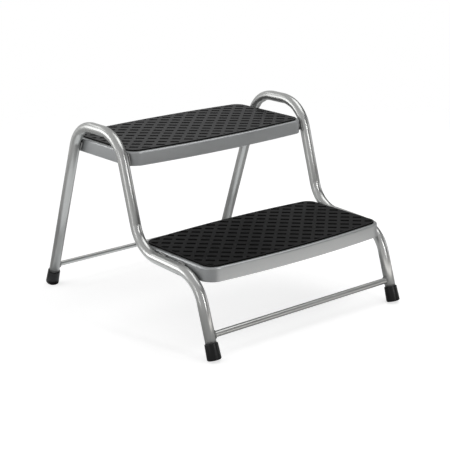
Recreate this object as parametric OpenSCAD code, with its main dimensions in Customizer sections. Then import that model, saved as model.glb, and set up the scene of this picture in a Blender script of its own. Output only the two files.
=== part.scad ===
// Caravan entry step with two treads, standing free on four slanted feet.
// Two bent tube side frames carry two pressed treads with ribbed rubber mats.
// X runs along the treads, the user climbs towards +Y, and Z is up.
// The origin is on the ground, midway between the feet.

/* [Side frames] */
// Outside diameter of the side frame tube
tube_d = 25; // [22:0.5:28]
// Wall of the side frame tube
tube_wall = 1.5; // [1:0.1:2.5]
// Distance between the axes of the two side frames
frame_span = 546; // [420:1:650]
// Distance on the ground between the front and the rear leg axes
foot_spread = 652; // [560:1:700]
// Lean of the rear legs from upright
rear_lean = 19.9; // [14:0.1:24]
// Lean of the lower front legs from upright
front_lean = 17.7; // [12:0.1:20]
// Lean of the upper front legs from upright
riser_lean = 16.1; // [11:0.1:20]
// Fall of the run beside the lower tread towards the front
run_fall = 2.1; // [0:0.1:6]
// Level of the tube axis along the top of the side frame
arch_level = 434; // [425:1:470]
// Level of the tube axis at the front corner of the run
knee_level = 174; // [160:0.5:182]
// Length of the run between its two corners, seen from above
run_length = 205.5; // [185:0.5:225]
// Bend radius of the tube axis
bend_r = 80; // [60:1:85]
// Loss of tube diameter where it is bent
bend_thinning = 0.3; // [0.2:0.05:0.8]

/* [Treads] */
// Gap between a tread's skirt and the tube beside it
tread_gap = 0.25; // [0.1:0.05:1]
// Depth of a tread at its middle, from the front to the rear
tread_depth = 278; // [240:1:300]
// Rise of the bowed front and rear edges of a tread
tread_bow = 14.5; // [8:0.5:20]
// Corner radius of a tread, seen from above
tread_corner_r = 33; // [20:1:45]
// Height of the skirt of a tread
skirt_h = 32; // [25:0.5:45]
// Sheet thickness of a tread
sheet_t = 1.6; // [1:0.1:3]
// Outer radius of the rolled top edge of a tread
rim_r = 4.5; // [3.5:0.5:8]
// Level of the upper tread's sheet
upper_level = 396.5; // [388:0.5:402]
// Level of the lower tread's sheet
lower_level = 194.5; // [188:0.5:204]
// Lead of the upper tread's front edge ahead of the front leg's axis beside it
upper_lead = 26.9; // [20:0.1:34]
// Lead of the lower tread's front edge ahead of the run's front corner
lower_lead = 37.5; // [30:0.1:44]

/* [Mats] */
// Bare metal edge that a mat leaves free all round
mat_inset = 8; // [6:0.5:15]
// Thickness of a mat
mat_t = 3.3; // [3:0.1:8]
// Depth of the pockets in a mat
pocket_depth = 1.6; // [0.5:0.1:2.5]
// Distance between the middles of two pockets next to each other
pocket_pitch = 28.3; // [22:0.1:36]
// Length of a pocket across the bands
pocket_l = 21; // [10:0.5:24]
// Width of a pocket along the bands
pocket_w = 11.5; // [6:0.5:18]
// Plain border of a mat
mat_border = 5; // [2:0.5:12]

/* [Crossbars] */
// Outside diameter of the front crossbar
front_bar_d = 14; // [10:0.5:18]
// Outside diameter of the rear crossbar
rear_bar_d = 12; // [10:0.5:18]
// Wall of the crossbars
bar_wall = 1.2; // [0.8:0.1:2]
// Level of the front crossbar's axis
front_bar_level = 53; // [48:0.5:80]
// Level of the rear crossbar's axis
rear_bar_level = 53; // [52:0.5:90]
// Gap left between a crossbar's end and the leg, under the weld
bar_gap = 0.2; // [0.1:0.1:0.5]

/* [Foot caps] */
// Outside diameter of a foot cap at its mouth
cap_mouth_d = 30; // [28:0.5:34]
// Outside diameter of a foot cap at its sole
cap_sole_d = 32; // [28:0.5:38]
// Length of a foot cap
cap_length = 36.5; // [28:0.5:42]
// Thickness of a foot cap's sole
cap_sole_t = 6; // [4:0.5:8]
// Rounding of a foot cap's sole edge
cap_round = 3.5; // [1.5:0.5:4]
// Clearance between a leg and its foot cap
cap_clearance = 0.1; // [0.05:0.05:0.3]
// Depth to which the sole's low edge is worn flat by the ground
sole_flat = 1.2; // [0.8:0.1:2]

/* [Welds] */
// Reach of a weld bead around a crossbar's end
bar_bead = 3; // [2:0.5:5]
// Radius of a weld bead between a tread and a side frame
tread_bead_r = 2.5; // [2:0.25:3.5]
// Length of a weld bead between a tread and a side frame
tread_bead_l = 22; // [15:1:30]

/* [Hidden] */
$fn = 64;

// Chords of a tread's round corner, of half its bowed edge and of its rolled rim
corner_steps = 9;
bow_steps = 8;
roll_steps = 5;
// Overshoot of a cutting shape past the face that it cuts
cut = 1;
// Length of full tube on each end of a bend
bend_lap = 1;
// Shift of the pocket pattern from the middle of each mat
upper_pocket_shift = [-8.6, 7.9];
lower_pocket_shift = [-4, 14.4];
// Least distance between the plain border and the middle of a pocket
pocket_margin = 2;
// Sink of a tread's bead into its neighbours before they are cut away
bead_sink = 0.8;
// Thickness of a crossbar's bead at its thin edge
bead_tip = 0.4;
// Side of the block that stands for the ground under a foot cap
ground_side = 4 * cap_sole_d;

// Corners of a side frame's axis in the Y-Z plane, from the rear foot to the front one
arch_rear = [foot_spread / 2 - arch_level * tan(rear_lean), arch_level];
knee = [-foot_spread / 2 + knee_level * tan(front_lean), knee_level];
step_corner = knee + run_length * [1, tan(run_fall)];
arch_front = [step_corner[0] + (arch_level - step_corner[1]) * tan(riser_lean), arch_level];

// Middle of a foot cap's sole, on the leg's axis, for a leg that leans towards dir
function sole_level(lean) =
    (cap_sole_d / 2 - cap_round) * sin(lean) + cap_round * (1 - cos(lean)) - sole_flat;
function leg_point(lean, dir, level) = [-dir * (foot_spread / 2 - level * tan(lean)), level];
function leg_up(lean, dir) = [dir * sin(lean), cos(lean)];
function tube_end(lean, dir) = leg_point(lean, dir, sole_level(lean)) + cap_sole_t * leg_up(lean, dir);

frame_path = [tube_end(rear_lean, -1), arch_rear, arch_front, step_corner, knee, tube_end(front_lean, 1)];

function unit(v) = v / norm(v);
function cross2(u, v) = u[0] * v[1] - u[1] * v[0];
function angle_of(v) = atan2(v[1], v[0]);
// Turn of the path at its corner i, and the length that the bend takes from each straight
function turn_at(p, i) =
    let (u = unit(p[i] - p[i - 1]), v = unit(p[i + 1] - p[i])) atan2(cross2(u, v), u * v);
function tangent_at(p, i) = i == 0 || i == len(p) - 1 ? 0 : bend_r * tan(abs(turn_at(p, i)) / 2);

// Half sizes of a tread's outline: straight sides, bowed front and rear, round corners
tread_l = frame_span - tube_d - 2 * tread_gap;
half_l = tread_l / 2;
half_d = tread_depth / 2;
bow_r = (half_l * half_l + tread_bow * tread_bow) / (2 * tread_bow);
bow_centre = half_d - bow_r;
corner_x = half_l - tread_corner_r;
corner_y = bow_centre + sqrt(pow(bow_r - tread_corner_r, 2) - corner_x * corner_x);
bow_half_angle = asin(corner_x / (bow_r - tread_corner_r));

steel = [0.72, 0.73, 0.73];
weld_steel = [0.62, 0.63, 0.63];
rubber = [0.09, 0.09, 0.1];

// Places its child, drawn in the X-Y plane, in the upright Y-Z plane at x
module side_plane(x) {
    translate([x, 0, 0]) rotate([90, 0, 90]) children();
}

module ring(d, wall) {
    difference() {
        circle(d = d);
        if (wall > 0) circle(d = d - 2 * wall);
    }
}

// Straight tube from a to b in the drawing plane, solid where wall is 0
module straight_tube(a, b, d, wall) {
    translate([a[0], a[1], 0]) rotate([0, 0, angle_of(b - a)]) rotate([0, 90, 0])
        linear_extrude(norm(b - a)) ring(d, wall);
}

// Bend of the path at its corner i
module tube_bend(p, i, d, wall) {
    u = unit(p[i] - p[i - 1]);
    v = unit(p[i + 1] - p[i]);
    turn = turn_at(p, i);
    side = sign(turn) * [-u[1], u[0]];
    start = p[i] - u * tangent_at(p, i);
    finish = p[i] + v * tangent_at(p, i);
    centre = start + side * bend_r;
    first = turn > 0 ? start : finish;
    translate([centre[0], centre[1], 0]) rotate([0, 0, angle_of(first - centre)])
        rotate_extrude(angle = abs(turn), $fn = 96) translate([bend_r, 0]) ring(d - bend_thinning, wall);
}

// A straight laps over the bends beside it, which are a little thinner
function lapped(p, i) = i == 0 || i == len(p) - 1 ? 0 : tangent_at(p, i) - bend_lap;

module bent_tube(p, d, wall) {
    for (i = [1 : len(p) - 1]) {
        u = unit(p[i] - p[i - 1]);
        straight_tube(p[i - 1] + u * lapped(p, i - 1), p[i] - u * lapped(p, i), d, wall);
    }
    for (i = [1 : len(p) - 2]) tube_bend(p, i, d, wall);
}

module side_frame(side) {
    color(steel) side_plane(side * frame_span / 2) bent_tube(frame_path, tube_d, tube_wall);
}

// Solid envelope of a side frame, for what is shaped against it
module side_frame_envelope(side) {
    side_plane(side * frame_span / 2) bent_tube(frame_path, tube_d, 0);
}

// Solid leg from the ground up to the knee's level, wider than the tube by grow on every side
module leg_envelope(side, lean, dir, grow) {
    foot = leg_point(lean, dir, 0);
    top = leg_point(lean, dir, knee_level);
    side_plane(side * frame_span / 2) straight_tube(foot, top, tube_d + 2 * grow, 0);
}

// Crossbar between two legs, its ends shaped to their round backs
module crossbar(d, level, lean, dir) {
    place = leg_point(lean, dir, level);
    color(steel) difference() {
        translate([-frame_span / 2, place[0], place[1]]) rotate([0, 90, 0])
            linear_extrude(frame_span) ring(d, bar_wall);
        for (side = [-1, 1]) leg_envelope(side, lean, dir, bar_gap);
    }
}

// Bead around a crossbar's end, from the leg's flank to a thin edge on the bar
module bar_weld(side, d, level, lean, dir) {
    place = leg_point(lean, dir, level);
    base_r = d / 2 + bar_bead;
    flank = sqrt(max(0, pow(tube_d / 2, 2) - pow(base_r, 2)));
    color(weld_steel) difference() {
        translate([side * (frame_span / 2 - flank), place[0], place[1]]) rotate([0, -side * 90, 0])
            cylinder(h = tube_d / 2 + bar_bead - flank, r1 = base_r, r2 = d / 2 + bead_tip);
        translate([0, place[0], place[1]]) rotate([0, 90, 0])
            cylinder(h = frame_span + cut, d = d, center = true);
        leg_envelope(side, lean, dir, 0);
    }
}

// Points of a tread's outline, drawn in by inset on every side: two bowed edges and four round corners
function tread_outline(inset) = [
    for (quarter = [0 : 3])
        let (x = quarter == 0 || quarter == 3 ? 1 : -1, y = quarter < 2 ? 1 : -1)
        each ordered(quarter, [for (p = quarter_outline(inset)) [x * p[0], y * p[1]]])
];

// Quarter of the outline, from the straight side to the middle of the bowed edge
function quarter_outline(inset) = [
    for (i = [0 : corner_steps])
        [corner_x, corner_y] + (tread_corner_r - inset) * heading((90 - bow_half_angle) * i / corner_steps),
    for (i = [1 : bow_steps])
        [0, bow_centre] + (bow_r - inset) * heading(90 - bow_half_angle * (1 - i / bow_steps))
];

// Every second quarter runs backwards, and a point that two quarters share is named once
function ordered(quarter, points) =
    let (last = len(points) - 1)
    quarter % 2 == 0 ? [for (i = [0 : last]) points[i]] : [for (i = [last - 1 : -1 : 0]) points[i]];

function heading(angle) = [cos(angle), sin(angle)];

// Section of a tread's edge as pairs of inset and level, from the sheet's top round to its underside
edge_section = concat(
    [for (i = [roll_steps : -1 : 0]) roll_point(rim_r, 90 * i / roll_steps)],
    [[0, -skirt_h], [sheet_t, -skirt_h]],
    [for (i = [0 : roll_steps]) roll_point(rim_r - sheet_t, 90 * i / roll_steps)]
);
function roll_point(r, angle) = [rim_r - r * cos(angle), r * sin(angle) - rim_r];

// Pressed tread: one closed skin that runs along the edge section, with the sheet's two faces as caps
module tread_pan(place, level) {
    rings = [for (s = edge_section) [for (p = tread_outline(s[0])) [p[0], p[1], s[1]]]];
    n = len(rings[0]);
    last = len(rings) - 1;
    color(steel) translate([0, place, level]) polyhedron(
        points = [for (r = rings) each r],
        faces = concat(
            [[for (i = [n - 1 : -1 : 0]) i]],
            [for (k = [0 : last - 1], i = [0 : n - 1])
                [k * n + i, k * n + (i + 1) % n, (k + 1) * n + (i + 1) % n, (k + 1) * n + i]],
            [[for (i = [0 : n - 1]) last * n + i]]
        )
    );
}

// Middles of the pockets, on a square grid turned by 45 degrees
function pocket_grid(shift) = let (
    n = ceil((half_l + half_d) / pocket_pitch),
    reach = mat_inset + mat_border + pocket_margin
) [
    for (i = [-n : n], j = [-n : n])
        let (p = shift + pocket_pitch * sqrt(0.5) * [i - j, i + j])
        if (inside_outline(p, reach)) p
];

// True where p lies in the outline drawn in by inset
function inside_outline(p, inset) =
    abs(p[0]) < half_l - inset
    && norm([p[0], abs(p[1]) - bow_centre]) < bow_r - inset
    && (abs(p[0]) < corner_x || abs(p[1]) < corner_y
        || norm([abs(p[0]) - corner_x, abs(p[1]) - corner_y]) < tread_corner_r - inset);

module pockets(shift) {
    intersection() {
        polygon(tread_outline(mat_inset + mat_border));
        for (p = pocket_grid(shift)) translate(p) rotate(45) square([pocket_w, pocket_l], center = true);
    }
}

module mat(place, level, shift) {
    color(rubber) translate([0, place, level]) difference() {
        linear_extrude(mat_t) polygon(tread_outline(mat_inset));
        translate([0, 0, mat_t - pocket_depth]) linear_extrude(pocket_depth + cut) pockets(shift);
    }
}

// Bead in the groove between a tread's skirt and the tube beside it, which runs along the tube
// beside the point p of its axis, to the left of the direction along
module tread_weld(side, p, along, place, level) {
    lift = sqrt(pow(tube_d / 2 + tread_bead_r, 2) - pow(tube_d / 2 + tread_gap - tread_bead_r, 2));
    centre = p + lift * [-along[1], along[0]];
    reach = along * tread_bead_l / 2;
    color(weld_steel) difference() {
        side_plane(side * (half_l + tread_bead_r))
            straight_tube(centre - reach, centre + reach, 2 * (tread_bead_r + bead_sink), 0);
        side_frame_envelope(side);
        translate([0, place, level - skirt_h - tread_bead_l])
            linear_extrude(skirt_h + tread_bead_l) polygon(tread_outline(0));
    }
}

module foot_cap(side, lean, dir) {
    sole = leg_point(lean, dir, sole_level(lean));
    color(rubber) difference() {
        translate([side * frame_span / 2, sole[0], sole[1]]) rotate([-dir * lean, 0, 0])
            rotate_extrude() cap_section();
        translate([side * frame_span / 2, sole[0], -cap_length / 2])
            cube([ground_side, ground_side, cap_length], center = true);
    }
}

module cap_section() {
    bore_r = tube_d / 2 + cap_clearance;
    difference() {
        union() {
            polygon([
                [0, cap_round], [cap_sole_d / 2, cap_round], [cap_mouth_d / 2, cap_length], [0, cap_length]
            ]);
            square([cap_sole_d / 2 - cap_round, cap_round]);
            translate([cap_sole_d / 2 - cap_round, cap_round]) intersection() {
                circle(r = cap_round);
                translate([0, -cap_round]) square(cap_round);
            }
        }
        translate([0, cap_sole_t]) square([bore_r, cap_length]);
    }
}

// Beads beside the treads: points on the tube's axis, and its directions there
front_leg_dir = unit(arch_front - step_corner);
rear_leg_dir = unit(arch_rear - frame_path[0]);
run_dir = unit(step_corner - knee);
upper_bead_level = upper_level - skirt_h / 2;
front_leg_bead = step_corner + front_leg_dir * (upper_bead_level - step_corner[1]) / front_leg_dir[1];
rear_leg_bead = leg_point(rear_lean, -1, upper_bead_level);
run_front_bead = knee + run_dir * (tangent_at(frame_path, 4) + tread_bead_l / 2);
run_rear_bead = step_corner - run_dir * (tangent_at(frame_path, 3) + tread_bead_l / 2);

// Places of the treads' middles along Y
upper_place = front_leg_bead[0] + half_d - upper_lead;
lower_place = knee[0] + half_d - lower_lead;

module front_bar_weld(side) bar_weld(side, front_bar_d, front_bar_level, front_lean, 1);
module rear_bar_weld(side) bar_weld(side, rear_bar_d, rear_bar_level, rear_lean, -1);
module upper_weld(side, p, along) tread_weld(side, p, along, upper_place, upper_level);
module lower_weld(side, p, along) tread_weld(side, p, along, lower_place, lower_level);

side_frame(-1);  // side_frame_left
side_frame(1);  // side_frame_right
crossbar(front_bar_d, front_bar_level, front_lean, 1);  // front_crossbar
crossbar(rear_bar_d, rear_bar_level, rear_lean, -1);  // rear_crossbar
tread_pan(upper_place, upper_level);  // upper_tread_pan
tread_pan(lower_place, lower_level);  // lower_tread_pan
mat(upper_place, upper_level, upper_pocket_shift);  // upper_mat
mat(lower_place, lower_level, lower_pocket_shift);  // lower_mat
foot_cap(-1, front_lean, 1);  // foot_cap_front_left
foot_cap(1, front_lean, 1);  // foot_cap_front_right
foot_cap(-1, rear_lean, -1);  // foot_cap_rear_left
foot_cap(1, rear_lean, -1);  // foot_cap_rear_right
front_bar_weld(-1);  // weld_front_bar_left
front_bar_weld(1);  // weld_front_bar_right
rear_bar_weld(-1);  // weld_rear_bar_left
rear_bar_weld(1);  // weld_rear_bar_right
upper_weld(-1, front_leg_bead, -front_leg_dir);  // weld_upper_front_left
upper_weld(1, front_leg_bead, -front_leg_dir);  // weld_upper_front_right
upper_weld(-1, rear_leg_bead, rear_leg_dir);  // weld_upper_rear_left
upper_weld(1, rear_leg_bead, rear_leg_dir);  // weld_upper_rear_right
lower_weld(-1, run_front_bead, run_dir);  // weld_lower_front_left
lower_weld(1, run_front_bead, run_dir);  // weld_lower_front_right
lower_weld(-1, run_rear_bead, run_dir);  // weld_lower_rear_left
lower_weld(1, run_rear_bead, run_dir);  // weld_lower_rear_right
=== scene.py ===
"""Looks of a caravan entry step: two pressed treads with rubber mats between two bent tube side frames."""

import math
import random

import bmesh
import bpy
from bpy.props import FloatProperty, FloatVectorProperty, IntProperty, PointerProperty
from mathutils import Matrix, Vector


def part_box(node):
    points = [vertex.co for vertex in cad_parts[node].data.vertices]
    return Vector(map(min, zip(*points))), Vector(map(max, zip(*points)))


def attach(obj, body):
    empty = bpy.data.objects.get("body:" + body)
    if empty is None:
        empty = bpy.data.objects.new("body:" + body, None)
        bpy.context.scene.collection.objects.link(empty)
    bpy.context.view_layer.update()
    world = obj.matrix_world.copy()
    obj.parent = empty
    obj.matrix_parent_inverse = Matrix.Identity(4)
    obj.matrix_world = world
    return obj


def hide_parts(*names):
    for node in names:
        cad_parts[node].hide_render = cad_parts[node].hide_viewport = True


bl_info = {
    "name": "Caravan Entry Step",
    "version": (1, 0, 0),
    "blender": (4, 5, 0),
    "location": "View3D > Sidebar > Entry Step",
    "description": "Builds the tubes, treads, mats, foot caps and welds of an entry step, and its studio",
    "category": "Object",
}

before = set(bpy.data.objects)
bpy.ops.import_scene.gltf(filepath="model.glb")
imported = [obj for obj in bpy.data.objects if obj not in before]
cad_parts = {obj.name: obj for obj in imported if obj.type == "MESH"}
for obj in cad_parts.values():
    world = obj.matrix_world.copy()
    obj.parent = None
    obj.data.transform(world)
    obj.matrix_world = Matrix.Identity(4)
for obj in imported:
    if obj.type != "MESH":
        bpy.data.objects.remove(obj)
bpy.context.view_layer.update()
X_AXIS, Z_AXIS = Vector((1, 0, 0)), Vector((0, 0, 1))

# Places that the frame gives
UPPER_PAN, LOWER_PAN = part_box("upper_tread_pan"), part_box("lower_tread_pan")
TUBE_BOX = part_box("side_frame_right")
TUBE_D = TUBE_BOX[1].x - TUBE_BOX[0].x
FRAME_X = (TUBE_BOX[1].x + TUBE_BOX[0].x) / 2
ARCH_LEVEL = TUBE_BOX[1].z - TUBE_D / 2
FRONT_BAR, REAR_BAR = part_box("front_crossbar"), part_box("rear_crossbar")

# Sides of the step along X, each with the word that its nodes end in
HANDS = ((-1, "left"), (1, "right"))
# Bends of a side frame, counted from the rear foot
ARCH_BENDS = (1, 2)
MARKED_BEND = 3
# Faces around a foot cap
CAP_FACETS = 64
# Places of the grooves under a foot cap, as shares of the sole's radius
SOLE_GROOVES = (0.3, 0.55)
# Smallest and largest drop of a weld bead, as shares of its radius
DROP_SIZES = (0.88, 1.08)
# Drops around a crossbar's end
BAR_DROPS = 20
# Angle past which an edge of a piece is shown sharp
SHARP_ANGLE = math.radians(35)
MAT_SHARP_ANGLE = math.radians(50)
# Tone of rubber that is dusty, and the painted shade colour of rubber in a pocket or on a wall
DUST_COLOUR = (0.16, 0.16, 0.165, 1)
PAINTED_SHADE_COLOUR = (0.003, 0.003, 0.003, 1)
# Rise of rubber's roughness over its cloudy pattern, and in a pocket or on a wall
CLOUD_DULLNESS = 0.12
SUNK_DULLNESS = 0.35
# Point of the step at which the lamps are aimed
STEP_MIDDLE = (0, 0, 0.22)
# Level of the cards on the floor, and their tints
CARD_LEVEL = 0.01
WARM, COOL = (1, 0.97, 0.93), (0.95, 0.98, 1)


# Sizes and colours that a user would change

def number(name, text, value, low=0.0, **kind):
    return FloatProperty(name=name, description=text, default=value, min=low, **kind)


def length(name, text, value):
    return number(name, text, value, subtype="DISTANCE", unit="LENGTH")


def watts(name, text, value):
    return number(name, text, value, unit="POWER")


def angle(name, text, degrees):
    return FloatProperty(name=name, description=text, default=math.radians(degrees),
                         subtype="ANGLE", unit="ROTATION")


def position(name, text, value):
    return FloatVectorProperty(name=name, description=text, default=value, size=len(value),
                               subtype="TRANSLATION", unit="LENGTH")


def colour(name, text, value):
    return FloatVectorProperty(name=name, description=text, default=value, size=3, min=0, max=1,
                               subtype="COLOR")


class StepTubeSizes(bpy.types.PropertyGroup):
    foot_spread: length("Foot spread", "Distance on the ground between front and rear leg axes", 0.652)
    rear_lean: angle("Rear lean", "Lean of the rear legs from upright", 19.9)
    front_lean: angle("Front lean", "Lean of the lower front legs from upright", 17.7)
    riser_lean: angle("Riser lean", "Lean of the upper front legs from upright", 16.1)
    run_fall: angle("Run fall", "Fall of the run beside the lower tread", 2.1)
    knee_level: length("Knee level", "Level of the tube axis at the front corner of the run", 0.174)
    run_length: length("Run length", "Length of the run between its corners", 0.2055)
    bend_r: length("Bend radius", "Bend radius of the tube axis", 0.08)
    wall: length("Wall", "Wall of the tube", 0.0015)
    flattening: number("Flattening", "Share of its width that the tube loses in a bend", 0.05,
                       max=0.2, subtype="FACTOR")
    bend_edge: length("Bend edge", "Length over which the tube flattens at a bend's ends", 0.007)
    bend_step: number("Bend step", "Degrees of a bend between two rings", 2.5, 0.5)
    wrinkle: length("Wrinkle", "Height of the press marks inside the arch bends", 0.0007)
    wrinkle_count: number("Wrinkles", "Press marks inside each arch bend", 3)
    die_mark: length("Die mark", "Depth of the former's groove above the run's rear bend", 0.0014)
    die_length: length("Die mark length", "Length of that groove along the tube", 0.005)
    facets: IntProperty(name="Facets", description="Faces around the tube", default=56, min=16, max=96)
    bar_bead: length("Crossbar bead", "Radius of the bead around a crossbar's end", 0.0021)
    tread_bead: length("Tread bead", "Radius of the beads beside the treads", 0.0023)
    bead_grain: length("Bead grain", "Finest detail of a bead", 0.0004)
    corner_bead_low: length("Corner bead foot", "Height of the corner bead's foot in the skirt", 0.004)
    corner_bead_top: length("Corner bead top", "Depth of the corner bead's top under the sheet", 0.005)
    corner_bead_in: length("Corner bead inset", "Inset of the corner bead from the skirt's side face", 0.001)
    corner_bead_ahead: length("Corner bead lead", "Lead of the corner bead ahead of the riser's axis", 0.0045)


class StepTreadSizes(bpy.types.PropertyGroup):
    bow: length("Bow", "Rise of the bowed front and rear edges", 0.0145)
    corner_r: length("Corner radius", "Corner radius seen from above", 0.033)
    rim_r: length("Rim radius", "Outer radius of the rolled top edge", 0.0045)
    sheet: length("Sheet", "Sheet thickness", 0.0016)
    mat_inset: length("Mat inset", "Bare metal edge that a mat leaves free", 0.008)
    mat_thickness: length("Mat thickness", "Thickness of a mat", 0.0033)
    mat_border: length("Mat border", "Plain border of a mat", 0.005)
    pocket_pitch: length("Pocket pitch", "Distance between neighbouring pockets", 0.0283)
    pocket_l: length("Pocket length", "Length of a pocket across the bands", 0.021)
    pocket_w: length("Pocket width", "Width of a pocket along the bands", 0.0115)
    pocket_depth: length("Pocket depth", "Depth of a pocket", 0.0016)
    pocket_slope: length("Pocket slope", "Inward slope of a pocket's walls", 0.0006)
    pocket_round: length("Pocket corners", "Corner radius of a pocket", 0.0016)
    mat_round: length("Mat rounding", "Rounding of a mat's edges", 0.0004)
    upper_shift: position("Upper shift", "Shift of the upper mat's pattern", (-0.0086, 0.0079))
    lower_shift: position("Lower shift", "Shift of the lower mat's pattern", (-0.004, 0.0144))
    bow_steps: IntProperty(name="Bow steps", description="Chords of a bowed edge", default=16, min=4, max=16)
    corner_steps: IntProperty(name="Corner steps", description="Chords of a round corner", default=12, min=3)
    rim_steps: IntProperty(name="Rim steps", description="Chords of the rolled edge", default=6, min=2)


class StepCapSizes(bpy.types.PropertyGroup):
    mouth_d: length("Mouth", "Outside diameter of a foot cap at its mouth", 0.03)
    sole_d: length("Sole", "Outside diameter of a foot cap at its sole", 0.032)
    height: length("Height", "Length of a foot cap", 0.0365)
    sole_t: length("Sole thickness", "Thickness of the sole", 0.006)
    rounding: length("Rounding", "Rounding of the sole's edge", 0.0035)
    sole_flat: length("Flat", "Depth to which the sole's low edge is worn flat", 0.0012)
    clearance: length("Clearance", "Clearance between a leg and its cap", 0.0001)
    groove: length("Groove", "Width and depth of the grooves under the sole", 0.001)


class StepColours(bpy.types.PropertyGroup):
    silver: colour("Silver paint", "Metallic paint on the tubes", (0.50, 0.505, 0.495))
    sheet: colour("Sheet paint", "Metallic paint on the treads", (0.40, 0.41, 0.415))
    weld: colour("Weld paint", "Metallic paint on the weld beads", (0.30, 0.30, 0.295))
    upper_rubber: colour("Upper mat", "Rubber of the upper mat", (0.016, 0.016, 0.017))
    # The lower mat's darker colour is painted shade under the upper tread; it is the same rubber as the upper
    # mat.
    lower_shaded_rubber: colour("Lower mat", "Rubber of the lower mat", (0.003, 0.003, 0.0032))
    cap_rubber: colour("Caps", "Rubber of the foot caps", (0.004, 0.004, 0.0045))


class StepStage(bpy.types.PropertyGroup):
    eye: position("Eye", "Place of the camera", (-1.8439, -2.3101, 1.0883))
    bearing: angle("Bearing", "Direction of view, clockwise from the +Y axis", 38.94)
    tilt: angle("Tilt", "Tilt of the view below level", 17.225)
    roll: angle("Roll", "Roll of the camera", -0.675)
    lens: number("Lens", "Focal length for a 36 mm sensor", 102.918, 10, unit="CAMERA")
    floor_radius: length("Floor radius", "Radius of the paper floor", 2.4)
    floor_glow: number("Floor glow", "Lift of the floor's white", 0.68)
    world_light: number("World light", "Level of the even light", 0.6)
    dark_light: number("Dark side", "Level of the light from the dark side", 0.1)
    dark_side: FloatVectorProperty(name="Dark direction", description="Direction of the studio's dark side",
                                   size=3, default=(0.95, -0.45, 0), subtype="DIRECTION")
    key: watts("Key strip", "Power of the tall strip in front, on the camera's right", 16)
    side: watts("Side strip", "Power of the tall strip on the left", 4)
    left: watts("Left panel", "Power of the panel behind on the left", 14)
    right: watts("Right panel", "Power of the panel on the right", 5)
    back: watts("Back strip", "Power of the flat strip high behind the step", 2.6)
    top: watts("Top softbox", "Power of the softbox above", 26)
    rear: watts("Rear panel", "Power of the panel straight behind the step", 1.5)
    card: watts("Front card", "Power of the card on the floor in front", 1)
    rear_card: watts("Rear card", "Power of the card on the floor between the rear legs", 0.65)


# Materials

def new_material(name):
    material = bpy.data.materials.new(name)
    material.use_nodes = True
    shader = material.node_tree.nodes["Principled BSDF"]
    return material, material.node_tree, shader


def add_node(tree, kind, **values):
    """Adds a node. A value whose name is a socket's sets that socket, and any other sets a property."""
    node = tree.nodes.new(kind)
    for name, value in values.items():
        label = name.replace("_", " ")
        if label in node.inputs:
            node.inputs[label].default_value = value
        else:
            setattr(node, name, value)
    return node


def join(tree, source, target):
    tree.links.new(source, target)


def paint_group():
    """Node group of sprayed metallic paint: flake sparkle, orange peel and cloudy tone."""
    name = "Sprayed paint"
    if name in bpy.data.node_groups:
        return bpy.data.node_groups[name]
    tree = bpy.data.node_groups.new(name, "ShaderNodeTree")
    face = tree.interface
    paint = face.new_socket("Colour", in_out="INPUT", socket_type="NodeSocketColor")
    paint.default_value = (0.5, 0.5, 0.5, 1)
    for label, value in (("Dullness", 0.3), ("Peel", 0.1), ("Sparkle", 0.1)):
        face.new_socket(label, in_out="INPUT", socket_type="NodeSocketFloat").default_value = value
    face.new_socket("Colour", in_out="OUTPUT", socket_type="NodeSocketColor")
    face.new_socket("Roughness", in_out="OUTPUT", socket_type="NodeSocketFloat")
    face.new_socket("Normal", in_out="OUTPUT", socket_type="NodeSocketVector")
    come = tree.nodes.new("NodeGroupInput")
    go = tree.nodes.new("NodeGroupOutput")
    place = add_node(tree, "ShaderNodeTexCoord").outputs["Object"]

    cloud = add_node(tree, "ShaderNodeTexNoise", Scale=9.0, Detail=3.0)
    flake = add_node(tree, "ShaderNodeTexNoise", Scale=1400.0, Detail=1.0)
    peel = add_node(tree, "ShaderNodeTexNoise", Scale=260.0, Detail=2.0)
    for noise in (cloud, flake, peel):
        join(tree, place, noise.inputs["Vector"])

    tone = add_node(tree, "ShaderNodeMapRange", From_Min=0.3, From_Max=0.7, To_Min=0.96, To_Max=1.04)
    join(tree, cloud.outputs["Fac"], tone.inputs["Value"])
    centred = add_node(tree, "ShaderNodeMath", operation="SUBTRACT")
    centred.inputs[1].default_value = 0.5
    join(tree, flake.outputs["Fac"], centred.inputs[0])
    glint = add_node(tree, "ShaderNodeMath", operation="MULTIPLY_ADD")
    join(tree, centred.outputs[0], glint.inputs[0])
    join(tree, come.outputs["Sparkle"], glint.inputs[1])
    join(tree, tone.outputs["Result"], glint.inputs[2])
    shade = add_node(tree, "ShaderNodeVectorMath", operation="SCALE")
    join(tree, come.outputs["Colour"], shade.inputs[0])
    join(tree, glint.outputs[0], shade.inputs["Scale"])
    join(tree, shade.outputs["Vector"], go.inputs["Colour"])

    swing = add_node(tree, "ShaderNodeMapRange", From_Min=0.3, From_Max=0.7, To_Min=-0.03, To_Max=0.03)
    join(tree, cloud.outputs["Fac"], swing.inputs["Value"])
    rough = add_node(tree, "ShaderNodeMath", operation="ADD")
    join(tree, come.outputs["Dullness"], rough.inputs[0])
    join(tree, swing.outputs["Result"], rough.inputs[1])
    join(tree, rough.outputs[0], go.inputs["Roughness"])

    bump = add_node(tree, "ShaderNodeBump", Distance=0.00012)
    join(tree, come.outputs["Peel"], bump.inputs["Strength"])
    join(tree, peel.outputs["Fac"], bump.inputs["Height"])
    join(tree, bump.outputs["Normal"], go.inputs["Normal"])
    return tree


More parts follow.
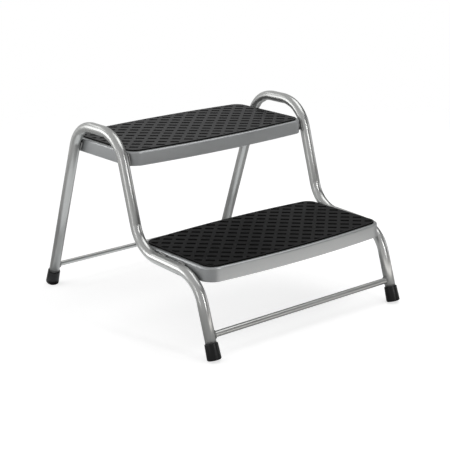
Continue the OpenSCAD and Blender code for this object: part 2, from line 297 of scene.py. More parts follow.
def silver_paint(name, paint, dullness, peel, sparkle):
    if name in bpy.data.materials:
        return bpy.data.materials[name]
    material, tree, shader = new_material(name)
    group = add_node(tree, "ShaderNodeGroup", node_tree=paint_group())
    group.inputs["Colour"].default_value = (*paint, 1)
    group.inputs["Dullness"].default_value = dullness
    group.inputs["Peel"].default_value = peel
    group.inputs["Sparkle"].default_value = sparkle
    shader.inputs["Metallic"].default_value = 0.85
    shader.inputs["Coat Weight"].default_value = 0.12
    shader.inputs["Coat Roughness"].default_value = 0.2
    join(tree, group.outputs["Colour"], shader.inputs["Base Color"])
    join(tree, group.outputs["Roughness"], shader.inputs["Roughness"])
    join(tree, group.outputs["Normal"], shader.inputs["Normal"])
    return material


def rubber_group():
    """Node group of moulded rubber: fine grain, pale dust, and painted shade that darkens the pockets and the
    sideways walls, which are also duller.
    """
    name = "Moulded rubber"
    if name in bpy.data.node_groups:
        return bpy.data.node_groups[name]
    tree = bpy.data.node_groups.new(name, "ShaderNodeTree")
    face = tree.interface
    dye = face.new_socket("Colour", in_out="INPUT", socket_type="NodeSocketColor")
    dye.default_value = (0.02, 0.02, 0.02, 1)
    for label, value in (("Dullness", 0.5), ("Grain", 0.3), ("Dust", 0.1), ("Top", 0.0), ("Walls", 0.0)):
        face.new_socket(label, in_out="INPUT", socket_type="NodeSocketFloat").default_value = value
    face.new_socket("Colour", in_out="OUTPUT", socket_type="NodeSocketColor")
    face.new_socket("Roughness", in_out="OUTPUT", socket_type="NodeSocketFloat")
    face.new_socket("Normal", in_out="OUTPUT", socket_type="NodeSocketVector")
    come = tree.nodes.new("NodeGroupInput")
    go = tree.nodes.new("NodeGroupOutput")
    place = add_node(tree, "ShaderNodeTexCoord").outputs["Object"]
    cloud = add_node(tree, "ShaderNodeTexNoise", Scale=14.0, Detail=4.0, Roughness=0.6)
    grain = add_node(tree, "ShaderNodeTexNoise", Scale=900.0, Detail=2.0)
    for noise in (cloud, grain):
        join(tree, place, noise.inputs["Vector"])

    dust = add_node(tree, "ShaderNodeMapRange", From_Min=0.45, From_Max=0.75)
    join(tree, cloud.outputs["Fac"], dust.inputs["Value"])
    amount = add_node(tree, "ShaderNodeMath", operation="MULTIPLY")
    join(tree, dust.outputs["Result"], amount.inputs[0])
    join(tree, come.outputs["Dust"], amount.inputs[1])
    mixed = add_node(tree, "ShaderNodeMix", data_type="RGBA")
    factor, base, pale = mixed.inputs[0], mixed.inputs[6], mixed.inputs[7]
    pale.default_value = DUST_COLOUR
    join(tree, amount.outputs[0], factor)
    join(tree, come.outputs["Colour"], base)

    # Painted shade: rubber more than 0.3 mm below the top, in the pockets, and faces that turn sideways, the
    # walls, are darkened towards the shade colour.
    level = add_node(tree, "ShaderNodeSeparateXYZ")
    join(tree, place, level.inputs[0])
    drop = add_node(tree, "ShaderNodeMath", operation="SUBTRACT")
    join(tree, come.outputs["Top"], drop.inputs[0])
    join(tree, level.outputs["Z"], drop.inputs[1])
    pocket_shade = add_node(tree, "ShaderNodeMapRange", From_Min=0.0003, From_Max=0.0012)
    join(tree, drop.outputs[0], pocket_shade.inputs["Value"])
    facing = add_node(tree, "ShaderNodeSeparateXYZ")
    join(tree, add_node(tree, "ShaderNodeNewGeometry").outputs["Normal"], facing.inputs[0])
    wall = add_node(tree, "ShaderNodeMapRange", From_Min=0.85, From_Max=0.3)
    join(tree, facing.outputs["Z"], wall.inputs["Value"])
    wall_shade = add_node(tree, "ShaderNodeMath", operation="MULTIPLY")
    join(tree, wall.outputs["Result"], wall_shade.inputs[0])
    join(tree, come.outputs["Walls"], wall_shade.inputs[1])
    dark = add_node(tree, "ShaderNodeMath", operation="MAXIMUM")
    join(tree, pocket_shade.outputs["Result"], dark.inputs[0])
    join(tree, wall_shade.outputs[0], dark.inputs[1])
    shaded = add_node(tree, "ShaderNodeMix", data_type="RGBA")
    shaded.inputs[7].default_value = PAINTED_SHADE_COLOUR
    join(tree, dark.outputs[0], shaded.inputs[0])
    join(tree, mixed.outputs[2], shaded.inputs[6])
    join(tree, shaded.outputs[2], go.inputs["Colour"])

    rough = add_node(tree, "ShaderNodeMath", operation="MULTIPLY_ADD")
    rough.inputs[1].default_value = CLOUD_DULLNESS
    join(tree, cloud.outputs["Fac"], rough.inputs[0])
    join(tree, come.outputs["Dullness"], rough.inputs[2])
    deep = add_node(tree, "ShaderNodeMath", operation="MULTIPLY_ADD", use_clamp=True)
    deep.inputs[1].default_value = SUNK_DULLNESS
    join(tree, dark.outputs[0], deep.inputs[0])
    join(tree, rough.outputs[0], deep.inputs[2])
    join(tree, deep.outputs[0], go.inputs["Roughness"])

    bump = add_node(tree, "ShaderNodeBump", Distance=0.0002)
    join(tree, come.outputs["Grain"], bump.inputs["Strength"])
    join(tree, grain.outputs["Fac"], bump.inputs["Height"])
    join(tree, bump.outputs["Normal"], go.inputs["Normal"])
    return tree


def rubber(name, dye, dullness, grain, dust, specular, top=0.0, wall_shade=0.0):
    """Rubber whose pockets, below the level top, are darkened by painted shade, and whose walls get painted
    shade by the given share.
    """
    if name in bpy.data.materials:
        return bpy.data.materials[name]
    material, tree, shader = new_material(name)
    group = add_node(tree, "ShaderNodeGroup", node_tree=rubber_group())
    group.inputs["Colour"].default_value = (*dye, 1)
    group.inputs["Dullness"].default_value = dullness
    group.inputs["Grain"].default_value = grain
    group.inputs["Dust"].default_value = dust
    group.inputs["Top"].default_value = top
    group.inputs["Walls"].default_value = wall_shade
    shader.inputs["Specular IOR Level"].default_value = specular
    join(tree, group.outputs["Colour"], shader.inputs["Base Color"])
    join(tree, group.outputs["Roughness"], shader.inputs["Roughness"])
    join(tree, group.outputs["Normal"], shader.inputs["Normal"])
    return material


def tube_paint():
    paint = bpy.context.scene.step_colours.silver
    return silver_paint("Silver tube paint", paint, dullness=0.3, peel=0.25, sparkle=0.12)


def sheet_paint():
    paint = bpy.context.scene.step_colours.sheet
    return silver_paint("Silver sheet paint", paint, dullness=0.46, peel=0.35, sparkle=0.12)


def weld_paint():
    paint = bpy.context.scene.step_colours.weld
    return silver_paint("Silver weld paint", paint, dullness=0.55, peel=0.6, sparkle=0.2)


# Pieces

def finish_piece(name, bm, material, nodes):
    """Makes an object of the mesh, rides it on the one body and lets it stand for its CAD nodes."""
    bmesh.ops.recalc_face_normals(bm, faces=bm.faces)
    mesh = bpy.data.meshes.new(name)
    bm.to_mesh(mesh)
    bm.free()
    piece = bpy.data.objects.new(name, mesh)
    bpy.context.scene.collection.objects.link(piece)
    mesh.materials.append(material)
    mesh.shade_smooth()
    mesh.set_sharp_from_angle(angle=SHARP_ANGLE)
    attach(piece, "root")
    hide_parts(*nodes)
    return piece


def bake_modifiers(piece):
    """Replaces a piece's mesh by the one that its modifiers give."""
    shown = piece.evaluated_get(bpy.context.evaluated_depsgraph_get())
    mesh = bpy.data.meshes.new_from_object(shown)
    piece.modifiers.clear()
    old = piece.data
    piece.data = mesh
    bpy.data.meshes.remove(old)


def add_modifier(piece, kind, **values):
    modifier = piece.modifiers.new(kind.title(), kind)
    for name, value in values.items():
        setattr(modifier, name, value)
    return modifier


# Side frames

def leg_point(lean, side, level):
    """Point of a leg's axis in the Y-Z plane at a level. The rear leg's side is 1 and the front one's -1."""
    half = bpy.context.scene.step_tube.foot_spread / 2
    return Vector((side * (half - level * math.tan(lean)), level))


def frame_corners(size):
    """Corners of a side frame's axis in the Y-Z plane, from the rear foot to the front one."""
    knee = leg_point(size.front_lean, -1, size.knee_level)
    step = knee + size.run_length * Vector((1, math.tan(size.run_fall)))
    arch_front = Vector((step.x + (ARCH_LEVEL - step.y) * math.tan(size.riser_lean), ARCH_LEVEL))
    foot_level = TUBE_BOX[0].z + TUBE_D / 2 * math.sin(size.front_lean)
    return [
        leg_point(size.rear_lean, 1, foot_level),
        leg_point(size.rear_lean, 1, ARCH_LEVEL),
        arch_front,
        step,
        knee,
        leg_point(size.front_lean, -1, foot_level),
    ]


def verts_of(geom):
    return [part for part in geom if isinstance(part, bmesh.types.BMVert)]


def edges_of(geom):
    return [part for part in geom if isinstance(part, bmesh.types.BMEdge)]


def squeeze_ring(ring, middle, inward, share, press):
    """Narrows a bend's ring towards its axis, and presses its inner side in by press."""
    for vert in ring:
        reach = (vert.co - middle).dot(inward)
        vert.co -= inward * reach * share
        vert.co -= inward * press * max(0.0, reach / (TUBE_D / 2)) ** 2


def bend_squeeze(size, done, arc):
    """Share of its width that a bend loses at the fraction done of its arc. It sets in at both ends."""
    edge = min(done, 1 - done) * arc / size.bend_edge
    return size.flattening * min(1.0, edge)


def extend(bm, edges, vec):
    """Draws a ring of edges on by vec, and gives the new ring's edges and vertices."""
    made = bmesh.ops.extrude_edge_only(bm, edges=edges)["geom"]
    bmesh.ops.translate(bm, verts=verts_of(made), vec=vec)
    return edges_of(made), verts_of(made)


def build_tube(size, x):
    """Sweeps a ring along the side frame's axis: straights are extruded and bends are spun."""
    corners = [Vector((x, *point)) for point in frame_corners(size)]
    bm = bmesh.new()
    along = (corners[1] - corners[0]).normalized()
    start = Matrix.Translation(corners[0]) @ along.to_track_quat("Z", "X").to_matrix().to_4x4()
    bmesh.ops.create_circle(bm, segments=size.facets, radius=TUBE_D / 2, matrix=start)
    edges = bm.edges[:]
    place = corners[0]
    pressed = []
    for i in range(1, len(corners) - 1):
        onward = (corners[i + 1] - corners[i]).normalized()
        turn = along.angle(onward)
        axis = along.cross(onward).normalized()
        inward = axis.cross(along)
        straight_end = corners[i] - along * size.bend_r * math.tan(turn / 2)
        centre = straight_end + inward * size.bend_r
        mark = size.die_length / 2 if i == MARKED_BEND else 0
        edges, _ = extend(bm, edges, straight_end - along * mark * 2 - place)
        if mark:
            edges, ring = extend(bm, edges, along * mark)
            pressed.append((ring, straight_end - along * mark, inward, 0, size.die_mark))
            edges, _ = extend(bm, edges, along * mark)
        steps = round(math.degrees(turn) / size.bend_step)
        for step in range(1, steps + 1):
            done = step / steps
            spun = bmesh.ops.spin(bm, geom=edges, cent=centre, axis=axis, angle=turn / steps, steps=1)
            edges = edges_of(spun["geom_last"])
            ring = verts_of(spun["geom_last"])
            place = centre + Matrix.Rotation(turn * done, 3, axis) @ (straight_end - centre)
            wave = math.sin(done * math.pi) * math.sin(done * math.tau * size.wrinkle_count)
            press = size.wrinkle * wave if i in ARCH_BENDS else 0
            share = bend_squeeze(size, done, size.bend_r)
            pressed.append((ring, place, (centre - place).normalized(), share, press))
        along = onward
    extend(bm, edges, corners[-1] - place)
    for ring in pressed:
        squeeze_ring(*ring)
    return bm


class ENTRYSTEP_OT_side_frames(bpy.types.Operator):
    """Bend the two side frames out of tube"""
    bl_idname = "entry_step.side_frames"
    bl_label = "Side Frames"

    def execute(self, context):
        size = context.scene.step_tube
        for hand, name in HANDS:
            bm = build_tube(size, hand * FRAME_X)
            piece = finish_piece(f"bent_tube_{name}", bm, tube_paint(), [f"side_frame_{name}"])
            add_modifier(piece, "SOLIDIFY", thickness=size.wall, offset=-1)
        return {"FINISHED"}


class ENTRYSTEP_OT_crossbars(bpy.types.Operator):
    """Paint the two crossbars"""
    bl_idname = "entry_step.crossbars"
    bl_label = "Crossbars"

    def execute(self, context):
        for node in ("front_crossbar", "rear_crossbar"):
            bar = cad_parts[node]
            bar.data.materials.clear()
            bar.data.materials.append(tube_paint())
        return {"FINISHED"}


# Treads

def outline_face(box, inset, level, size):
    """One flat face with a tread's outline, drawn in by inset: bowed front and rear, round corners."""
    half = (box[1] - box[0]) / 2
    middle = (box[1] + box[0]) / 2
    bow_r = (half.x ** 2 + size.bow ** 2) / (2 * size.bow)
    bow_centre = half.y - bow_r
    swing = math.asin((half.x - size.corner_r) / (bow_r - size.corner_r))
    edge_r = bow_r - inset
    tangent = edge_r * Vector((math.sin(swing), math.cos(swing)))

    bm = bmesh.new()
    bmesh.ops.create_grid(bm, x_segments=size.bow_steps, y_segments=1, size=1)
    for vert in bm.verts:
        x = vert.co.x * (half.x - inset)
        past = abs(x) - tangent.x
        y = math.sqrt(edge_r ** 2 - x ** 2) if past < 0 else tangent.y - past * math.tan(swing)
        vert.co = (middle.x + x, middle.y + math.copysign(bow_centre + y, vert.co.y), level)
    corners = [vert for vert in bm.verts if len(vert.link_edges) == 2]
    reach = (size.corner_r - inset) * math.tan((math.pi / 2 - swing) / 2)
    bmesh.ops.bevel(bm, geom=corners, offset=reach, offset_type="OFFSET", segments=size.corner_steps,
                    profile=0.5, affect="VERTICES", material=-1)
    bmesh.ops.dissolve_faces(bm, faces=bm.faces[:])
    return bm


def deepen(bm, depth):
    """Turns a flat face into a solid that reaches depth below it."""
    made = bmesh.ops.extrude_face_region(bm, geom=bm.faces[:])["geom"]
    bmesh.ops.translate(bm, verts=verts_of(made), vec=-depth * Z_AXIS)
    bmesh.ops.recalc_face_normals(bm, faces=bm.faces)


def build_pan(box, size):
    """Pressed tread: the sheet, its rolled edge and the skirt, as one skin."""
    bm = outline_face(box, 0, box[1].z, size)
    rim = bm.edges[:]
    made = bmesh.ops.extrude_edge_only(bm, edges=rim)["geom"]
    bmesh.ops.translate(bm, verts=verts_of(made), vec=(box[0].z - box[1].z) * Z_AXIS)
    bmesh.ops.bevel(bm, geom=rim, offset=size.rim_r, offset_type="OFFSET", segments=size.rim_steps,
                    profile=0.5, affect="EDGES", material=-1)
    return bm


class ENTRYSTEP_OT_treads(bpy.types.Operator):
    """Press the two treads"""
    bl_idname = "entry_step.treads"
    bl_label = "Treads"

    def execute(self, context):
        size = context.scene.step_tread
        for name, box in (("upper", UPPER_PAN), ("lower", LOWER_PAN)):
            pan = build_pan(box, size)
            piece = finish_piece(f"pressed_tread_{name}", pan, sheet_paint(),
                                 [f"{name}_tread_pan"])
            add_modifier(piece, "SOLIDIFY", thickness=size.sheet, offset=-1)
            add_modifier(piece, "WEIGHTED_NORMAL", keep_sharp=True)
        return {"FINISHED"}


# Mats

def pocket_places(box, size, shift):
    """Middles of a mat's pockets, on a square grid turned by 45 degrees."""
    middle = (box[1] + box[0]) / 2
    reach = (box[1] - box[0]) / 2
    count = math.ceil((reach.x + reach.y) / size.pocket_pitch)
    step = size.pocket_pitch * math.sqrt(0.5)
    for i in range(-count, count + 1):
        for j in range(-count, count + 1):
            place = Vector((shift[0] + step * (i - j), shift[1] + step * (i + j), 0))
            if abs(place.x) < reach.x and abs(place.y) < reach.y:
                yield Vector((middle.x, middle.y, 0)) + place


def build_pockets(box, level, size, shift):
    """Sloping prisms with round corners that press a mat's pockets. Their upper halves stand above it."""
    bm = bmesh.new()
    turn = Matrix.Rotation(math.pi / 4, 4, "Z")
    stretch = Matrix.Diagonal((size.pocket_w, size.pocket_l, size.pocket_depth * 2, 1))
    bmesh.ops.create_cube(bm, size=1, matrix=turn @ stretch)
    for vert in bm.verts:
        if vert.co.z < 0:
            flat = turn.inverted() @ vert.co
            flat.x -= math.copysign(size.pocket_slope, flat.x)
            flat.y -= math.copysign(size.pocket_slope, flat.y)
            vert.co = turn @ flat
    uprights = [edge for edge in bm.edges if abs((edge.verts[0].co - edge.verts[1].co).z) > size.pocket_depth]
    bmesh.ops.bevel(bm, geom=uprights, offset=size.pocket_round, offset_type="OFFSET", segments=3,
                    profile=0.5, affect="EDGES", material=-1)
    stamp = bm.verts[:] + bm.edges[:] + bm.faces[:]
    for place in pocket_places(box, size, shift):
        copy = bmesh.ops.duplicate(bm, geom=stamp)["geom"]
        bmesh.ops.translate(bm, verts=verts_of(copy), vec=(place.x, place.y, level))
    bmesh.ops.delete(bm, geom=stamp, context="VERTS")
    return bm


def scratch_object(name, bm):
    mesh = bpy.data.meshes.new(name)
    bm.to_mesh(mesh)
    bm.free()
    made = bpy.data.objects.new(name, mesh)
    bpy.context.scene.collection.objects.link(made)
    return made


def combine(piece, tool, operation):
    """Applies a boolean of piece with tool, and removes the tool."""
    add_modifier(piece, "BOOLEAN", operation=operation, object=tool, solver="EXACT")
    bake_modifiers(piece)
    bpy.data.objects.remove(tool)


class ENTRYSTEP_OT_mats(bpy.types.Operator):
    """Mould the two rubber mats"""
    bl_idname = "entry_step.mats"
    bl_label = "Mats"

    def execute(self, context):
        size = context.scene.step_tread
        dyes = context.scene.step_colours
        # The lower mat is the same rubber as the upper one; its darker dye and weaker specular are painted
        # shade from the upper tread above it.
        looks = (
            ("upper", UPPER_PAN, size.upper_shift, dyes.upper_rubber, 0.06, 0.17),
            ("lower", LOWER_PAN, size.lower_shift, dyes.lower_shaded_rubber, 0.01, 0.07),
        )
        for name, box, shift, dye, dust, specular in looks:
            level = box[1].z + size.mat_thickness
            # Both mats get painted shade in their pockets and, by the full share, on their walls.
            material = rubber(f"{name.title()} mat rubber", dye, dullness=0.36, grain=0.5, dust=dust,
                              specular=specular, top=level, wall_shade=1.0)
            mould = outline_face(box, size.mat_inset, level, size)
            deepen(mould, size.mat_thickness)
            piece = finish_piece(f"pocketed_mat_{name}", mould, material, [f"{name}_mat"])
            reach = size.pocket_depth * 2
            border = outline_face(box, size.mat_inset + size.mat_border, level + reach, size)
            deepen(border, reach * 2)
            pockets = scratch_object("pockets", build_pockets(box, level, size, shift))
            combine(pockets, scratch_object("border", border), "INTERSECT")
            combine(piece, pockets, "DIFFERENCE")
            add_modifier(piece, "BEVEL", width=size.mat_round, segments=2, limit_method="ANGLE",
                         angle_limit=math.radians(40))
            piece.data.shade_smooth()
            piece.data.set_sharp_from_angle(angle=MAT_SHARP_ANGLE)
        return {"FINISHED"}


# Foot caps

def arc(centre, radius, first, last, steps):
    """Points of an arc in the r-z plane, angles in degrees."""
    angles = [math.radians(first + (last - first) * i / steps) for i in range(steps + 1)]
    return [(centre[0] + radius * math.cos(a), centre[1] + radius * math.sin(a)) for a in angles]


def cap_profile(size):
    """Half section of a foot cap from the middle of its sole, round the outside and down the bore."""
    sole_r, mouth_r = size.sole_d / 2, size.mouth_d / 2
    bore_r = TUBE_D / 2 + size.clearance
    lip = (mouth_r - bore_r) / 2
    grooves = []
    for share in SOLE_GROOVES:
        r = sole_r * share
        grooves += [(r, 0), (r, size.groove), (r + size.groove, size.groove), (r + size.groove, 0)]
    return (
        [(0, 0)] + grooves
        + arc((sole_r - size.rounding, size.rounding), size.rounding, -90, 0, 6)
        + arc((mouth_r - lip, size.height - lip), lip, 0, 180, 8)
        + [(bore_r, size.sole_t), (0, size.sole_t)]
    )


def build_cap(size, lean, side, x):
    """Spins the cap's section, leans it with the leg and cuts its sole off flat at the ground."""
    bm = bmesh.new()
    line = [bm.verts.new((r, 0, z)) for r, z in cap_profile(size)]
    edges = [bm.edges.new(pair) for pair in zip(line, line[1:])]
    bmesh.ops.spin(bm, geom=edges, cent=(0, 0, 0), axis=Z_AXIS, angle=math.tau, steps=CAP_FACETS,
                   use_merge=True)
    bmesh.ops.remove_doubles(bm, verts=bm.verts, dist=1e-6)
    inner = size.sole_d / 2 - size.rounding
    sole = inner * math.sin(lean) + size.rounding * (1 - math.cos(lean)) - size.sole_flat
    place = Vector((x, *leg_point(lean, side, sole)))
    lean_over = Matrix.Translation(place) @ Matrix.Rotation(side * lean, 4, "X")
    bmesh.ops.transform(bm, matrix=lean_over, verts=bm.verts)
    cut = bmesh.ops.bisect_plane(bm, geom=bm.verts[:] + bm.edges[:] + bm.faces[:], plane_co=(0, 0, 0),
                                 plane_no=Z_AXIS, clear_inner=True)["geom_cut"]
    bmesh.ops.holes_fill(bm, edges=edges_of(cut), sides=0)
    return bm


class ENTRYSTEP_OT_foot_caps(bpy.types.Operator):
    """Mould the four foot caps"""
    bl_idname = "entry_step.foot_caps"
    bl_label = "Foot Caps"

    def execute(self, context):
        size, tube = context.scene.step_cap, context.scene.step_tube
        dye = context.scene.step_colours.cap_rubber
        material = rubber("Cap rubber", dye, dullness=0.3, grain=0.25, dust=0.01, specular=0.3)
        for end, side, lean in (("front", -1, tube.front_lean), ("rear", 1, tube.rear_lean)):
            for hand, name in HANDS:
                bm = build_cap(size, lean, side, hand * FRAME_X)
                finish_piece(f"cap_{end}_{name}", bm, material, [f"foot_cap_{end}_{name}"])
        return {"FINISHED"}


# Welds

def build_bead(places, radius, seed):
    """Row of overlapping drops that are fused into one rippled bead."""
    chance = random.Random(seed)
    bm = bmesh.new()
    for place in places:
        drop = Matrix.Translation(place) @ Matrix.Scale(radius * chance.uniform(*DROP_SIZES), 4)
        bmesh.ops.create_icosphere(bm, subdivisions=2, radius=1, matrix=drop)
    return bm


def points_between(first, last, gap):
    count = max(2, round((last - first).length / gap))
    return [first.lerp(last, i / count) for i in range(count + 1)]


def bar_bead_places(bar, lean, side, hand, offset):
    """Places round a crossbar's end, on the saddle where it meets the leg."""
    middle = (bar[0] + bar[1]) / 2
    radius = (bar[1].z - bar[0].z) / 2 + offset
    along_leg = Vector((0, -side * math.sin(lean), math.cos(lean)))
    across = X_AXIS.cross(along_leg)
    for i in range(BAR_DROPS):
        turn = math.tau * i / BAR_DROPS
        reach = radius * math.cos(turn)
        inset = math.sqrt((TUBE_D / 2) ** 2 - reach ** 2) + offset
        on_axis = Vector((hand * (FRAME_X - inset), middle.y, middle.z))
        yield on_axis + across * reach + along_leg * radius * math.sin(turn)


def groove_places(node, rising, radius):
    """Places along a tread's bead, from one end of the CAD bead to the other."""
    lo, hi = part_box(node)
    x = (lo.x + hi.x) / 2
    ends = [lo.z + radius, hi.z - radius] if rising else [hi.z - radius, lo.z + radius]
    return points_between(Vector((x, lo.y + radius, ends[0])), Vector((x, hi.y - radius, ends[1])), radius)


def corner_places(size, hand):
    """Places of the second bead of the upper tread, in front of the riser beside the tread's round corner."""
    corners = frame_corners(size)
    up = (corners[2] - corners[3]).normalized()
    x = hand * (UPPER_PAN[1].x - size.corner_bead_in)
    points = []
    for level in (UPPER_PAN[0].z + size.corner_bead_low, UPPER_PAN[1].z - size.corner_bead_top):
        axis = corners[3] + up * (level - corners[3].y) / up.y
        points.append(Vector((x, axis.x - size.corner_bead_ahead, level)))
    return points_between(*points, size.tread_bead)


class ENTRYSTEP_OT_welds(bpy.types.Operator):
    """Lay the weld beads"""
    bl_idname = "entry_step.welds"
    bl_label = "Welds"

    def execute(self, context):
        tube = context.scene.step_tube
        bars = (("front", FRONT_BAR, -1, tube.front_lean), ("rear", REAR_BAR, 1, tube.rear_lean))
        grooves = (("upper_front", True), ("upper_rear", False), ("lower_front", True), ("lower_rear", True))
        jobs = []
        for hand, name in HANDS:
            for end, bar, side, lean in bars:
                places = list(bar_bead_places(bar, lean, side, hand, tube.bar_bead / 2))
                jobs.append((f"weld_{end}_bar_{name}", places, tube.bar_bead))
            for groove, rising in grooves:
                node = f"weld_{groove}_{name}"
                places = groove_places(node, rising, tube.tread_bead)
                if groove == "upper_front":
                    places += corner_places(tube, hand)
                jobs.append((node, places, tube.tread_bead))
        for seed, (node, places, radius) in enumerate(jobs):
            bm = build_bead(places, radius, seed)
            piece = finish_piece(node.replace("weld", "bead"), bm, weld_paint(), [node])
            add_modifier(piece, "REMESH", mode="VOXEL", voxel_size=tube.bead_grain, use_smooth_shade=True)
            bake_modifiers(piece)
        return {"FINISHED"}


# Stage

def aim(place, target):
    return (Vector(target) - Vector(place)).to_track_quat("-Z", "Y")


def softbox(name, place, target, size, power, tint=(1, 1, 1)):
    lamp = bpy.data.lights.new(name, "AREA")
    lamp.color = tint
    lamp.shape = "RECTANGLE"
    lamp.size, lamp.size_y = size
    lamp.energy = power
    box = bpy.data.objects.new(name, lamp)
    box.location = place
    box.rotation_mode = "QUATERNION"
    box.rotation_quaternion = aim(place, target)
    box.visible_camera = False
    bpy.context.scene.collection.objects.link(box)


def floor_card(name, spot, size, power, tint):
    """Softbox that lies on the floor and faces up."""
    softbox(name, (*spot, CARD_LEVEL), (*spot, 1), size, power, tint)


def add_camera(stage):
    """Camera at the viewing angle of a long lens, given by its bearing, its tilt down and its roll."""
    bearing, tilt, roll = stage.bearing, stage.tilt, stage.roll
    ahead = Vector((math.sin(bearing) * math.cos(tilt), math.cos(bearing) * math.cos(tilt), -math.sin(tilt)))
    right = ahead.cross(Z_AXIS).normalized()
    up = right.cross(ahead)
    turn = Matrix.Rotation(-roll, 3, ahead)
    lens = bpy.data.cameras.new("Camera")
    lens.lens = stage.lens
    lens.sensor_width = 36
    camera = bpy.data.objects.new("Camera", lens)
    axes = Matrix((turn @ right, turn @ up, -ahead)).transposed()
    camera.matrix_world = Matrix.Translation(stage.eye) @ axes.to_4x4()
    bpy.context.scene.collection.objects.link(camera)
    bpy.context.scene.camera = camera


def white_world(stage):
    """White backdrop for the camera, and for all else a studio that is darker on the camera's right."""
    world = bpy.data.worlds.new("Studio")
    world.use_nodes = True
    tree = world.node_tree
    tree.nodes.clear()
    white = add_node(tree, "ShaderNodeBackground", Color=(1, 1, 1, 1), Strength=1.0)
    light = add_node(tree, "ShaderNodeBackground", Color=(1, 1, 1, 1))
    way = add_node(tree, "ShaderNodeTexCoord")
    toward = add_node(tree, "ShaderNodeVectorMath", operation="DOT_PRODUCT")
    toward.inputs[1].default_value = Vector(stage.dark_side).normalized()
    join(tree, way.outputs["Generated"], toward.inputs[0])
    level = add_node(tree, "ShaderNodeMapRange", From_Min=-0.2, From_Max=0.75,
                     To_Min=stage.world_light, To_Max=stage.dark_light, interpolation_type="SMOOTHSTEP")
    join(tree, toward.outputs["Value"], level.inputs["Value"])
    join(tree, level.outputs["Result"], light.inputs["Strength"])
    path = add_node(tree, "ShaderNodeLightPath")
    mix = add_node(tree, "ShaderNodeMixShader")
    out = add_node(tree, "ShaderNodeOutputWorld")
    join(tree, path.outputs["Is Camera Ray"], mix.inputs[0])
    join(tree, light.outputs[0], mix.inputs[1])
    join(tree, white.outputs[0], mix.inputs[2])
    join(tree, mix.outputs[0], out.inputs[0])
    bpy.context.scene.world = world


def white_floor(stage):
    """White paper floor that keeps the step's shadow and fades into the backdrop."""
    bm = bmesh.new()
    bmesh.ops.create_circle(bm, cap_ends=True, segments=96, radius=stage.floor_radius)
    floor = scratch_object("floor", bm)
    material, tree, shader = new_material("White paper floor")
    shader.inputs["Base Color"].default_value = (0.5, 0.5, 0.5, 1)
    shader.inputs["Roughness"].default_value = 0.9
    shader.inputs["Specular IOR Level"].default_value = 0.1
    shader.inputs["Emission Color"].default_value = (1, 1, 1, 1)
    place = add_node(tree, "ShaderNodeTexCoord").outputs["Object"]
    path = add_node(tree, "ShaderNodeLightPath")
    seen = add_node(tree, "ShaderNodeMath", operation="MULTIPLY")
    seen.inputs[1].default_value = stage.floor_glow
    join(tree, path.outputs["Is Camera Ray"], seen.inputs[0])
    join(tree, seen.outputs[0], shader.inputs["Emission Strength"])
    away = add_node(tree, "ShaderNodeVectorMath", operation="LENGTH")
    join(tree, place, away.inputs[0])
    fade = add_node(tree, "ShaderNodeMapRange", From_Min=stage.floor_radius * 0.45,
                    From_Max=stage.floor_radius * 0.98, To_Min=1.0, To_Max=0.0,
                    interpolation_type="SMOOTHSTEP")
    join(tree, away.outputs["Value"], fade.inputs["Value"])
    join(tree, fade.outputs["Result"], shader.inputs["Alpha"])
    grain = add_node(tree, "ShaderNodeTexNoise", Scale=300.0)
    bump = add_node(tree, "ShaderNodeBump", Strength=0.05, Distance=0.0005)
    join(tree, place, grain.inputs["Vector"])
    join(tree, grain.outputs["Fac"], bump.inputs["Height"])
    join(tree, bump.outputs["Normal"], shader.inputs["Normal"])
    floor.data.materials.append(material)


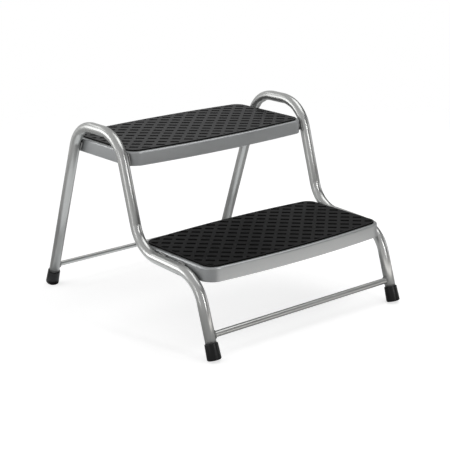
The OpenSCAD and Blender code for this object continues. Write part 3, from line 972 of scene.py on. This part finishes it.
class ENTRYSTEP_OT_stage(bpy.types.Operator):
    """Set up the pale studio, its lamps and the camera"""
    bl_idname = "entry_step.stage"
    bl_label = "Stage"

    def execute(self, context):
        stage = context.scene.step_stage
        add_camera(stage)
        white_world(stage)
        white_floor(stage)
        softbox("Key strip", (0.35, -2.75, 1.15), STEP_MIDDLE, (0.26, 1.5), stage.key)
        softbox("Side strip", (-2.6, -0.35, 0.55), STEP_MIDDLE, (0.3, 1.1), stage.side)
        softbox("Left panel", (-1.9, 1.6, 0.9), STEP_MIDDLE, (1.4, 1.2), stage.left)
        softbox("Right panel", (2.4, -0.9, 0.5), STEP_MIDDLE, (1.2, 1.0), stage.right)
        softbox("Back strip", (-0.7, 1.9, 1.85), STEP_MIDDLE, (1.2, 0.35), stage.back)
        softbox("Top softbox", (1.2, -0.4, 2.6), STEP_MIDDLE, (2.4, 1.6), stage.top)
        softbox("Rear panel", (1.6, 2.0, 1.5), STEP_MIDDLE, (2.0, 1.4), stage.rear)
        floor_card("Front card", (0.22, -0.57), (0.9, 0.32), stage.card, WARM)
        floor_card("Rear card", (-0.15, 0.15), (0.9, 0.36), stage.rear_card, COOL)
        context.scene.view_settings.view_transform = "Standard"
        return {"FINISHED"}


class ENTRYSTEP_PT_panel(bpy.types.Panel):
    """Builds the entry step piece by piece"""
    bl_label = "Entry Step"
    bl_idname = "ENTRYSTEP_PT_panel"
    bl_space_type = "VIEW_3D"
    bl_region_type = "UI"
    bl_category = "Entry Step"

    def draw(self, context):
        for operator in OPERATORS:
            self.layout.operator(operator.bl_idname)


OPERATORS = (
    ENTRYSTEP_OT_side_frames,
    ENTRYSTEP_OT_crossbars,
    ENTRYSTEP_OT_treads,
    ENTRYSTEP_OT_mats,
    ENTRYSTEP_OT_foot_caps,
    ENTRYSTEP_OT_welds,
    ENTRYSTEP_OT_stage,
)
GROUPS = {
    "step_tube": StepTubeSizes,
    "step_tread": StepTreadSizes,
    "step_cap": StepCapSizes,
    "step_colours": StepColours,
    "step_stage": StepStage,
}


def register():
    for made in (*GROUPS.values(), *OPERATORS, ENTRYSTEP_PT_panel):
        bpy.utils.register_class(made)
    for name, group in GROUPS.items():
        setattr(bpy.types.Scene, name, PointerProperty(type=group))


def unregister():
    for name in GROUPS:
        delattr(bpy.types.Scene, name)
    for made in reversed((*GROUPS.values(), *OPERATORS, ENTRYSTEP_PT_panel)):
        bpy.utils.unregister_class(made)


def main():
    register()
    bpy.ops.entry_step.side_frames()
    bpy.ops.entry_step.crossbars()
    bpy.ops.entry_step.treads()
    bpy.ops.entry_step.mats()
    bpy.ops.entry_step.foot_caps()
    bpy.ops.entry_step.welds()
    bpy.ops.entry_step.stage()


if __name__ == "__main__":
    main()
